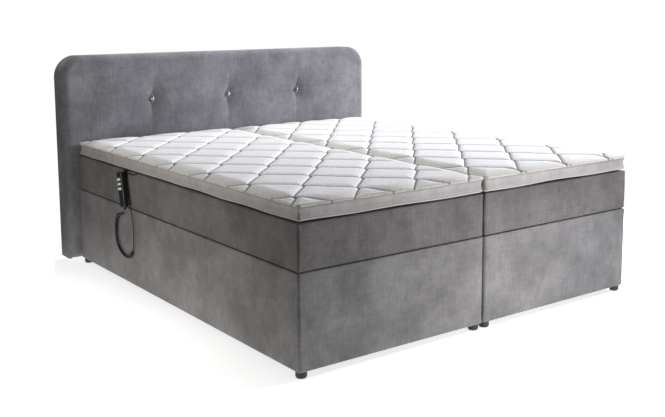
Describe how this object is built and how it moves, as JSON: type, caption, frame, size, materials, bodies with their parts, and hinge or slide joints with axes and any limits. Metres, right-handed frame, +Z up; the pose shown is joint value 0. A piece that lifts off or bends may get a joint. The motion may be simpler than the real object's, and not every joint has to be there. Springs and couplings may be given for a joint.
{
  "type": "adjustable box-spring bed",
  "caption": "Upholstered double bed with lifting back and leg sections on each side, quilted toppers, a padded headboard and a wired handset on one side.",
  "frame": {"origin": "centre of the footprint of the whole bed, at floor level", "axes": "+Y along the bed from foot to headboard, +Z up, +X across the bed"},
  "size_m": [1.92, 2.133, 1.062],
  "materials": {
    "grey_velour": "short velour pile",
    "white_ticking": "quilted knit",
    "tuft_button": "faceted, polished",
    "beech": "lacquered",
    "dark_steel": "powder coated",
    "cord_rubber": "satin",
    "light_keys": "soft gloss",
    "black_plastic": "fine texture"
  },
  "bodies": {
    "root": {"headboard": "grey_velour", "tuft_button_left": "tuft_button", "tuft_button_middle": "tuft_button", "tuft_button_right": "tuft_button", "base_box_left": "grey_velour", "glide_left_foot_left": "black_plastic", "glide_left_foot_right": "black_plastic", "glide_left_head_left": "black_plastic", "glide_left_head_right": "black_plastic", "fixed_frame_left": "beech", "drive_housing_left": "black_plastic", "mattress_seat_left": "grey_velour", "topper_seat_left": "white_ticking", "base_box_right": "grey_velour", "glide_right_foot_left": "black_plastic", "glide_right_foot_right": "black_plastic", "glide_right_head_left": "black_plastic", "glide_right_head_right": "black_plastic", "fixed_frame_right": "beech", "drive_housing_right": "black_plastic", "mattress_seat_right": "grey_velour", "topper_seat_right": "white_ticking"},
    "back_section_left": {"back_frame_left": "beech"},
    "back_shaft_left": {"back_lift_shaft_left": "dark_steel"},
    "back_pusher_left": {"back_carriage_left": "dark_steel"},
    "lumbar_pad_left": {"mattress_lumbar_left": "grey_velour", "topper_lumbar_left": "white_ticking"},
    "back_pad_left": {"mattress_back_left": "grey_velour", "topper_back_left": "white_ticking", "handset_holder": "black_plastic", "handset_cord_upper": "cord_rubber"},
    "thigh_section_left": {"thigh_frame_left": "beech"},
    "calf_section_left": {"calf_frame_left": "beech"},
    "leg_shaft_left": {"leg_lift_shaft_left": "dark_steel"},
    "leg_pusher_left": {"leg_carriage_left": "dark_steel"},
    "thigh_pad_left": {"mattress_thigh_left": "grey_velour", "topper_thigh_left": "white_ticking"},
    "calf_pad_left": {"mattress_calf_left": "grey_velour", "topper_calf_left": "white_ticking"},
    "back_section_right": {"back_frame_right": "beech"},
    "back_shaft_right": {"back_lift_shaft_right": "dark_steel"},
    "back_pusher_right": {"back_carriage_right": "dark_steel"},
    "lumbar_pad_right": {"mattress_lumbar_right": "grey_velour", "topper_lumbar_right": "white_ticking"},
    "back_pad_right": {"mattress_back_right": "grey_velour", "topper_back_right": "white_ticking"},
    "thigh_section_right": {"thigh_frame_right": "beech"},
    "calf_section_right": {"calf_frame_right": "beech"},
    "leg_shaft_right": {"leg_lift_shaft_right": "dark_steel"},
    "leg_pusher_right": {"leg_carriage_right": "dark_steel"},
    "thigh_pad_right": {"mattress_thigh_right": "grey_velour", "topper_thigh_right": "white_ticking"},
    "calf_pad_right": {"mattress_calf_right": "grey_velour", "topper_calf_right": "white_ticking"},
    "handset_body": {"handset": "black_plastic", "handset_cord_curl": "cord_rubber", "handset_cord_return": "cord_rubber"},
    "key_1": {"handset_key_1": "light_keys"},
    "key_2": {"handset_key_2": "light_keys"},
    "key_3": {"handset_key_3": "light_keys"}
  },
  "joints": [
    {"name": "back_lift_left", "type": "hinge", "parent": "root", "child": "back_section_left", "pos_m": [-0.4515, 0.2035, 0.3616], "axis": [1, 0, 0], "range_deg": [0, 60]},
    {"name": "back_shaft_turn_left", "type": "hinge", "parent": "root", "child": "back_shaft_left", "pos_m": [-0.4515, 0.2335, 0.3116], "axis": [1, 0, 0], "range_deg": [0, 60.5]},
    {"name": "lumbar_bend_left", "type": "hinge", "parent": "root", "child": "lumbar_pad_left", "pos_m": [-0.4515, 0.03411, 0.43], "axis": [1, 0, 0], "range_deg": [0, 30.5], "deforming": ["mattress_seat_left", "mattress_lumbar_left", "topper_seat_left", "topper_lumbar_left"]},
    {"name": "back_bend_left", "type": "hinge", "parent": "lumbar_pad_left", "child": "back_pad_left", "pos_m": [-0.4515, 0.2591, 0.43], "axis": [1, 0, 0], "range_deg": [0, 30.5], "deforming": ["mattress_seat_left", "mattress_lumbar_left", "topper_seat_left", "topper_lumbar_left"]},
    {"name": "back_push_left", "type": "slide", "parent": "root", "child": "back_pusher_left", "axis": [0, 1, 0], "range_m": [0, 0.046]},
    {"name": "leg_lift_left", "type": "hinge", "parent": "root", "child": "thigh_section_left", "pos_m": [-0.4515, -0.1865, 0.3616], "axis": [-1, 0, 0], "range_deg": [0, 30]},
    {"name": "knee_fold_left", "type": "hinge", "parent": "thigh_section_left", "child": "calf_section_left", "pos_m": [-0.4515, -0.5465, 0.3616], "axis": [1, 0, 0], "range_deg": [0, 51]},
    {"name": "leg_shaft_turn_left", "type": "hinge", "parent": "root", "child": "leg_shaft_left", "pos_m": [-0.4515, -0.2025, 0.3116], "axis": [-1, 0, 0], "range_deg": [0, 30.5]},
    {"name": "thigh_bend_left", "type": "hinge", "parent": "root", "child": "thigh_pad_left", "pos_m": [-0.4515, -0.16817, 0.43], "axis": [-1, 0, 0], "range_deg": [0, 30.5], "deforming": ["mattress_seat_left", "topper_seat_left", "mattress_thigh_left", "mattress_calf_left", "topper_thigh_left", "topper_calf_left"]},
    {"name": "knee_bend_left", "type": "hinge", "parent": "thigh_pad_left", "child": "calf_pad_left", "pos_m": [-0.4515, -0.59436, 0.54], "axis": [1, 0, 0], "range_deg": [0, 51], "deforming": ["mattress_thigh_left", "mattress_calf_left", "topper_thigh_left", "topper_calf_left"]},
    {"name": "leg_push_left", "type": "slide", "parent": "root", "child": "leg_pusher_left", "axis": [0, -1, 0], "range_m": [0, 0.023]},
    {"name": "back_lift_right", "type": "hinge", "parent": "root", "child": "back_section_right", "pos_m": [0.4515, 0.2035, 0.3616], "axis": [1, 0, 0], "range_deg": [0, 60]},
    {"name": "back_shaft_turn_right", "type": "hinge", "parent": "root", "child": "back_shaft_right", "pos_m": [0.4515, 0.2335, 0.3116], "axis": [1, 0, 0], "range_deg": [0, 60.5]},
    {"name": "lumbar_bend_right", "type": "hinge", "parent": "root", "child": "lumbar_pad_right", "pos_m": [0.4515, 0.03411, 0.43], "axis": [1, 0, 0], "range_deg": [0, 30.5], "deforming": ["mattress_seat_right", "mattress_lumbar_right", "topper_seat_right", "topper_lumbar_right"]},
    {"name": "back_bend_right", "type": "hinge", "parent": "lumbar_pad_right", "child": "back_pad_right", "pos_m": [0.4515, 0.2591, 0.43], "axis": [1, 0, 0], "range_deg": [0, 30.5], "deforming": ["mattress_seat_right", "mattress_lumbar_right", "topper_seat_right", "topper_lumbar_right"]},
    {"name": "back_push_right", "type": "slide", "parent": "root", "child": "back_pusher_right", "axis": [0, 1, 0], "range_m": [0, 0.046]},
    {"name": "leg_lift_right", "type": "hinge", "parent": "root", "child": "thigh_section_right", "pos_m": [0.4515, -0.1865, 0.3616], "axis": [-1, 0, 0], "range_deg": [0, 30]},
    {"name": "knee_fold_right", "type": "hinge", "parent": "thigh_section_right", "child": "calf_section_right", "pos_m": [0.4515, -0.5465, 0.3616], "axis": [1, 0, 0], "range_deg": [0, 51]},
    {"name": "leg_shaft_turn_right", "type": "hinge", "parent": "root", "child": "leg_shaft_right", "pos_m": [0.4515, -0.2025, 0.3116], "axis": [-1, 0, 0], "range_deg": [0, 30.5]},
    {"name": "thigh_bend_right", "type": "hinge", "parent": "root", "child": "thigh_pad_right", "pos_m": [0.4515, -0.16817, 0.43], "axis": [-1, 0, 0], "range_deg": [0, 30.5], "deforming": ["mattress_seat_right", "topper_seat_right", "mattress_thigh_right", "mattress_calf_right", "topper_thigh_right", "topper_calf_right"]},
    {"name": "knee_bend_right", "type": "hinge", "parent": "thigh_pad_right", "child": "calf_pad_right", "pos_m": [0.4515, -0.59436, 0.54], "axis": [1, 0, 0], "range_deg": [0, 51], "deforming": ["mattress_thigh_right", "mattress_calf_right", "topper_thigh_right", "topper_calf_right"]},
    {"name": "leg_push_right", "type": "slide", "parent": "root", "child": "leg_pusher_right", "axis": [0, -1, 0], "range_m": [0, 0.023]},
    {"name": "handset_swing", "type": "hinge", "parent": "back_pad_left", "child": "handset_body", "pos_m": [-0.924, 0.3465, 0.5425], "axis": [-1, 0, 0], "range_deg": [0, 60.5], "deforming": ["handset_cord_upper"]},
    {"name": "key_1_press", "type": "slide", "parent": "handset_body", "child": "key_1", "axis": [1, 0, 0], "range_m": [0, 0.0012], "stiffness_N_per_m": 500},
    {"name": "key_2_press", "type": "slide", "parent": "handset_body", "child": "key_2", "axis": [1, 0, 0], "range_m": [0, 0.0012], "stiffness_N_per_m": 500},
    {"name": "key_3_press", "type": "slide", "parent": "handset_body", "child": "key_3", "axis": [1, 0, 0], "range_m": [0, 0.0012], "stiffness_N_per_m": 500}
  ],
  "couplings": [
    {"joint": "back_shaft_turn_left", "follows": "back_lift_left", "ratio": 1},
    {"joint": "lumbar_bend_left", "follows": "back_lift_left", "ratio": 0.5},
    {"joint": "back_bend_left", "follows": "back_lift_left", "ratio": 0.5},
    {"joint": "back_push_left", "follows": "back_lift_left", "m_per_rad": 0.0435},
    {"joint": "knee_fold_left", "follows": "leg_lift_left", "ratio": 1.69},
    {"joint": "leg_shaft_turn_left", "follows": "leg_lift_left", "ratio": 1},
    {"joint": "thigh_bend_left", "follows": "leg_lift_left", "ratio": 1},
    {"joint": "knee_bend_left", "follows": "leg_lift_left", "ratio": 1.69},
    {"joint": "leg_push_left", "follows": "leg_lift_left", "m_per_rad": 0.0435},
    {"joint": "back_shaft_turn_right", "follows": "back_lift_right", "ratio": 1},
    {"joint": "lumbar_bend_right", "follows": "back_lift_right", "ratio": 0.5},
    {"joint": "back_bend_right", "follows": "back_lift_right", "ratio": 0.5},
    {"joint": "back_push_right", "follows": "back_lift_right", "m_per_rad": 0.0435},
    {"joint": "knee_fold_right", "follows": "leg_lift_right", "ratio": 1.69},
    {"joint": "leg_shaft_turn_right", "follows": "leg_lift_right", "ratio": 1},
    {"joint": "thigh_bend_right", "follows": "leg_lift_right", "ratio": 1},
    {"joint": "knee_bend_right", "follows": "leg_lift_right", "ratio": 1.69},
    {"joint": "leg_push_right", "follows": "leg_lift_right", "m_per_rad": 0.0435},
    {"joint": "handset_swing", "follows": "back_lift_left", "ratio": 1}
  ]
}
